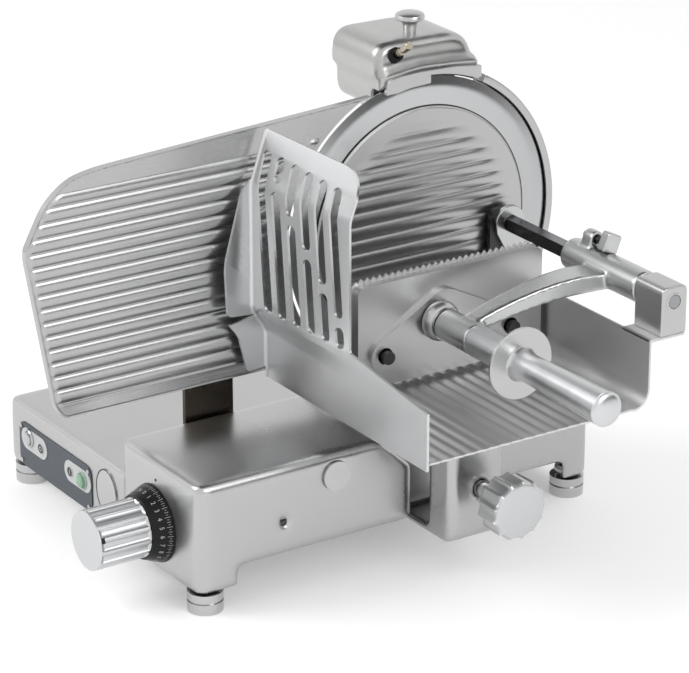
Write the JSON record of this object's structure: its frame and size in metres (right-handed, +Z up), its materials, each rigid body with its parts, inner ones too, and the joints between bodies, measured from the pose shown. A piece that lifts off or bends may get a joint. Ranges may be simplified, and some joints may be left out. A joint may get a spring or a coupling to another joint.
{
  "type": "meat slicer",
  "caption": "Electric vertical-blade meat slicer with a sliding tray, hand guard, swing-away press on a square rod, thickness knob, push buttons and a sharpener over the knife",
  "frame": {"origin": "on the bench under the middle of the outer box; the knife's axis stands 0.322 above it", "axes": "+X towards the press handle and across the machine, +Y away from the operator along the carriage's travel, +Z up"},
  "size_m": [0.737, 0.689, 0.568],
  "materials": {
    "cast_aluminium": "satin, sand cast and brushed, anodised",
    "stainless_sheet": "brushed, fine lines, light wear",
    "knife_steel": "ground and hard chromed, bright",
    "bar_steel": "turned and polished",
    "dark_steel": "dark, lightly oiled",
    "turned_aluminium": "turned, anodised, fine lathe lines",
    "black_plastic": "moulded, fine grain",
    "panel_foil": "matt printed foil",
    "grey_plastic": "matt light grey",
    "green_lens": "glossy, lightly tinted green",
    "rubber": "matt grey rubber",
    "belt_rubber": "matt black",
    "circuit_board": "green solder mask",
    "bronze": "sintered, oiled",
    "stone": "rough abrasive, ceramic bond"
  },
  "bodies": {
    "base": {"base_casting": "cast_aluminium", "bottom_cover": "stainless_sheet", "feet": "rubber", "control_panel": "panel_foil", "panel_screws": "bar_steel", "button_plates": "grey_plastic", "button_housings": "black_plastic", "signal_discs": "black_plastic", "oval_plate": "stainless_sheet", "switch_board": "circuit_board", "cable_gland": "black_plastic", "blank_cap": "stainless_sheet", "motor": "dark_steel", "motor_cradle": "cast_aluminium", "drive_belt": "belt_rubber", "blade_head": "cast_aluminium", "head_cover": "cast_aluminium", "spindle_bearings": "bar_steel", "blade_cover": "stainless_sheet", "cover_tie_rod": "bar_steel", "guard_ring": "cast_aluminium", "guide_rods": "bar_steel", "sharpener_housing": "cast_aluminium", "sharpener_flange": "cast_aluminium"},
    "knife": {"spindle": "bar_steel", "driven_pulley": "bar_steel", "blade": "knife_steel", "blade_screws": "dark_steel"},
    "motor_rotor": {"motor_shaft": "bar_steel", "motor_pulley": "bar_steel"},
    "gauge": {"gauge_plate": "cast_aluminium", "gauge_arm": "stainless_sheet", "gauge_bar": "bar_steel", "cam_follower": "dark_steel"},
    "thickness_control": {"thickness_knob": "turned_aluminium", "thickness_dial": "black_plastic", "thickness_cam": "dark_steel"},
    "carriage": {"carriage_arm": "cast_aluminium", "carriage_bushes": "bronze", "carriage_table": "stainless_sheet", "hand_guard": "stainless_sheet", "rod_bracket": "cast_aluminium", "end_block": "stainless_sheet"},
    "carriage_lock": {"lock_knob": "turned_aluminium"},
    "rod": {"press_rod": "dark_steel"},
    "pusher": {"press_arm": "cast_aluminium", "press_plate": "stainless_sheet", "press_teeth": "stainless_sheet", "press_studs": "dark_steel", "handle_tube": "turned_aluminium", "handle_disc": "stainless_sheet", "handle_grip": "turned_aluminium"},
    "press_lock": {"lock_lever": "dark_steel"},
    "start": {"start_button": "green_lens"},
    "stop": {"stop_button": "bar_steel"},
    "sharpener_push": {"sharpener_button": "turned_aluminium"},
    "deburring": {"deburring_pin": "bar_steel"},
    "stone_a": {"grinding_stone": "stone"},
    "stone_b": {"truing_stone": "stone"}
  },
  "joints": [
    {"name": "knife_turn", "type": "hinge", "parent": "base", "child": "knife", "pos_m": [-0.0835, 0.1585, 0.322], "axis": [1, 0, 0], "continuous": true},
    {"name": "motor_turn", "type": "hinge", "parent": "base", "child": "motor_rotor", "pos_m": [-0.1425, 0.1585, 0.062], "axis": [1, 0, 0], "continuous": true},
    {"name": "thickness_turn", "type": "hinge", "parent": "base", "child": "thickness_control", "pos_m": [-0.0125, -0.2815, 0.078], "axis": [0, 1, 0], "range_deg": [0, 300]},
    {"name": "gauge_slide", "type": "slide", "parent": "base", "child": "gauge", "axis": [-1, 0, 0], "range_m": [0, 0.02]},
    {"name": "carriage_slide", "type": "slide", "parent": "base", "child": "carriage", "axis": [0, 1, 0], "range_m": [-0.225, 0.11]},
    {"name": "carriage_lock_turn", "type": "hinge", "parent": "carriage", "child": "carriage_lock", "pos_m": [0.1595, 0.0905, 0.096], "axis": [1, 0, 0], "range_deg": [-180, 180]},
    {"name": "press_swing", "type": "hinge", "parent": "carriage", "child": "rod", "pos_m": [0.1195, 0.2695, 0.31], "axis": [1, 0, 0], "range_deg": [-100, 0]},
    {"name": "press_slide", "type": "slide", "parent": "rod", "child": "pusher", "axis": [-1, 0, 0], "range_m": [0, 0.08]},
    {"name": "press_lock_turn", "type": "hinge", "parent": "pusher", "child": "press_lock", "pos_m": [0.1095, 0.2745, 0.337], "axis": [1, 0, 0], "range_deg": [-35, 35]},
    {"name": "start_push", "type": "slide", "parent": "base", "child": "start", "axis": [0, 1, 0], "range_m": [0, 0.003], "stiffness_N_per_m": 500},
    {"name": "stop_push", "type": "slide", "parent": "base", "child": "stop", "axis": [0, 1, 0], "range_m": [0, 0.003], "stiffness_N_per_m": 500},
    {"name": "sharpener_push_slide", "type": "slide", "parent": "base", "child": "sharpener_push", "axis": [0, 0, -1], "range_m": [0, 0.006], "stiffness_N_per_m": 500},
    {"name": "deburring_slide", "type": "slide", "parent": "base", "child": "deburring", "axis": [-0.8387, 0, -0.5446], "range_m": [0, 0.006], "stiffness_N_per_m": 500},
    {"name": "stone_a_turn", "type": "hinge", "parent": "base", "child": "stone_a", "pos_m": [-0.1105, 0.1445, 0.50145], "axis": [1, 0, 0], "continuous": true},
    {"name": "stone_b_turn", "type": "hinge", "parent": "base", "child": "stone_b", "pos_m": [-0.1105, 0.1945, 0.49836], "axis": [1, 0, 0], "continuous": true}
  ],
  "couplings": [
    {"joint": "motor_turn", "follows": "knife_turn", "ratio": 2.8333},
    {"joint": "gauge_slide", "follows": "thickness_turn", "m_per_rad": 0.0038197}
  ]
}
